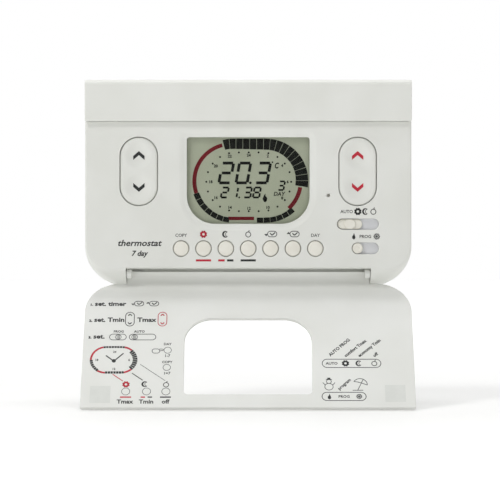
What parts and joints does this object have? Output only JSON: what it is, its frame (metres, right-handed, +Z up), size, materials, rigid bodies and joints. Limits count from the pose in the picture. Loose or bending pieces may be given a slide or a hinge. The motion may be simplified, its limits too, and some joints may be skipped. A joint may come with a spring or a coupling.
{
  "type": "wall thermostat",
  "caption": "Wall-mounted programmable room thermostat with LCD, rocker and round push buttons, two slide switches, a pull-off battery cover and a drop-down flap shown open",
  "frame": {"origin": "middle of the wall base's rear face, where the unit meets the wall", "axes": "+Z up, -Y out of the wall towards the user, +X to the right; the display and buttons face -Y"},
  "size_m": [0.135, 0.0574, 0.1345],
  "materials": {
    "cream_abs": "fine-textured cream white ABS",
    "cover_abs": "satin cream white ABS",
    "flap_abs": "satin cream white ABS, printed inside",
    "base_abs": "plain white ABS",
    "frame_abs": "plain white ABS",
    "cap_abs": "polished cream ABS",
    "dark_abs": "dark moulded plastic",
    "window": "clear acrylic",
    "lcd_glass": "grey-green LCD glass with black and red segments",
    "board_laminate": "green solder mask on glass epoxy",
    "zebra_rubber": "layered conductive silicone",
    "keypad_silicone": "grey silicone",
    "capacitor_sleeve": "blue-black shrink sleeve",
    "sensor_resin": "dipped resin bead",
    "cell_label": "plain dark cell sleeve",
    "steel": "nickel-plated steel",
    "brass": "stamped brass"
  },
  "bodies": {
    "housing": {"wall_base": "base_abs", "terminal_block": "dark_abs", "rear_shell": "cream_abs", "front_panel": "cream_abs", "main_board": "board_laminate", "lcd_glass": "lcd_glass", "lcd_frame": "frame_abs", "display_window": "window", "zebra_upper": "zebra_rubber", "zebra_lower": "zebra_rubber", "keypad_mat": "keypad_silicone", "relay": "dark_abs", "microcontroller": "dark_abs", "quartz_crystal": "steel", "storage_capacitor": "capacitor_sleeve", "temperature_sensor": "sensor_resin", "mode_switch_body": "dark_abs", "season_switch_body": "dark_abs", "reset_switch_body": "dark_abs", "battery_1": "cell_label", "battery_2": "cell_label", "battery_spring": "steel", "battery_plate": "steel", "base_screw": "steel", "housing_screw_1": "steel", "housing_screw_2": "steel", "housing_screw_3": "steel", "housing_screw_4": "steel", "terminal_screw_1": "steel", "terminal_screw_2": "steel", "terminal_screw_3": "steel", "board_screw_1": "steel", "board_screw_2": "steel", "terminal_clamp_1": "brass", "terminal_clamp_2": "brass", "terminal_clamp_3": "brass", "contact_blade_1": "brass", "contact_blade_2": "brass", "contact_blade_3": "brass"},
    "flap": {"flap": "flap_abs"},
    "battery_cover": {"battery_cover": "cover_abs"},
    "button_copy": {"button_copy": "cap_abs"},
    "button_comfort": {"button_comfort": "cap_abs"},
    "button_economy": {"button_economy": "cap_abs"},
    "button_off": {"button_off": "cap_abs"},
    "button_clock_forward": {"button_clock_forward": "cap_abs"},
    "button_clock_back": {"button_clock_back": "cap_abs"},
    "button_day": {"button_day": "cap_abs"},
    "rocker_economy": {"rocker_economy": "cap_abs"},
    "rocker_comfort": {"rocker_comfort": "cap_abs"},
    "mode_slider": {"mode_slider": "cap_abs"},
    "season_slider": {"season_slider": "cap_abs"},
    "reset_plunger": {"reset_plunger": "cap_abs"}
  },
  "joints": [
    {"name": "flap_hinge", "type": "hinge", "parent": "housing", "child": "flap", "pos_m": [0, -0.0242, -0.0376], "axis": [1, 0, 0], "range_deg": [-143.8, 0]},
    {"name": "battery_cover_release", "type": "slide", "parent": "housing", "child": "battery_cover", "axis": [0, -1, 0], "range_m": [0, 0.03]},
    {"name": "button_copy_press", "type": "slide", "parent": "housing", "child": "button_copy", "axis": [0, 1, 0], "range_m": [0, 0.001], "stiffness_N_per_m": 800, "deforming": ["keypad_mat"]},
    {"name": "button_comfort_press", "type": "slide", "parent": "housing", "child": "button_comfort", "axis": [0, 1, 0], "range_m": [0, 0.001], "stiffness_N_per_m": 800, "deforming": ["keypad_mat"]},
    {"name": "button_economy_press", "type": "slide", "parent": "housing", "child": "button_economy", "axis": [0, 1, 0], "range_m": [0, 0.001], "stiffness_N_per_m": 800, "deforming": ["keypad_mat"]},
    {"name": "button_off_press", "type": "slide", "parent": "housing", "child": "button_off", "axis": [0, 1, 0], "range_m": [0, 0.001], "stiffness_N_per_m": 800, "deforming": ["keypad_mat"]},
    {"name": "button_clock_forward_press", "type": "slide", "parent": "housing", "child": "button_clock_forward", "axis": [0, 1, 0], "range_m": [0, 0.001], "stiffness_N_per_m": 800, "deforming": ["keypad_mat"]},
    {"name": "button_clock_back_press", "type": "slide", "parent": "housing", "child": "button_clock_back", "axis": [0, 1, 0], "range_m": [0, 0.001], "stiffness_N_per_m": 800, "deforming": ["keypad_mat"]},
    {"name": "button_day_press", "type": "slide", "parent": "housing", "child": "button_day", "axis": [0, 1, 0], "range_m": [0, 0.001], "stiffness_N_per_m": 800, "deforming": ["keypad_mat"]},
    {"name": "rocker_economy_tilt", "type": "hinge", "parent": "housing", "child": "rocker_economy", "pos_m": [-0.04525, -0.025, 0.0047], "axis": [1, 0, 0], "range_deg": [-2.5, 2.5], "stiffness_Nm_per_rad": 0.4, "deforming": ["keypad_mat"]},
    {"name": "rocker_comfort_tilt", "type": "hinge", "parent": "housing", "child": "rocker_comfort", "pos_m": [0.04525, -0.025, 0.0047], "axis": [1, 0, 0], "range_deg": [-2.5, 2.5], "stiffness_Nm_per_rad": 0.4, "deforming": ["keypad_mat"]},
    {"name": "mode_slide", "type": "slide", "parent": "housing", "child": "mode_slider", "axis": [1, 0, 0], "range_m": [0, 0.0066]},
    {"name": "season_slide", "type": "slide", "parent": "housing", "child": "season_slider", "axis": [1, 0, 0], "range_m": [0, 0.0064]},
    {"name": "reset_press", "type": "slide", "parent": "housing", "child": "reset_plunger", "axis": [0, 1, 0], "range_m": [0, 0.0005], "stiffness_N_per_m": 600}
  ]
}
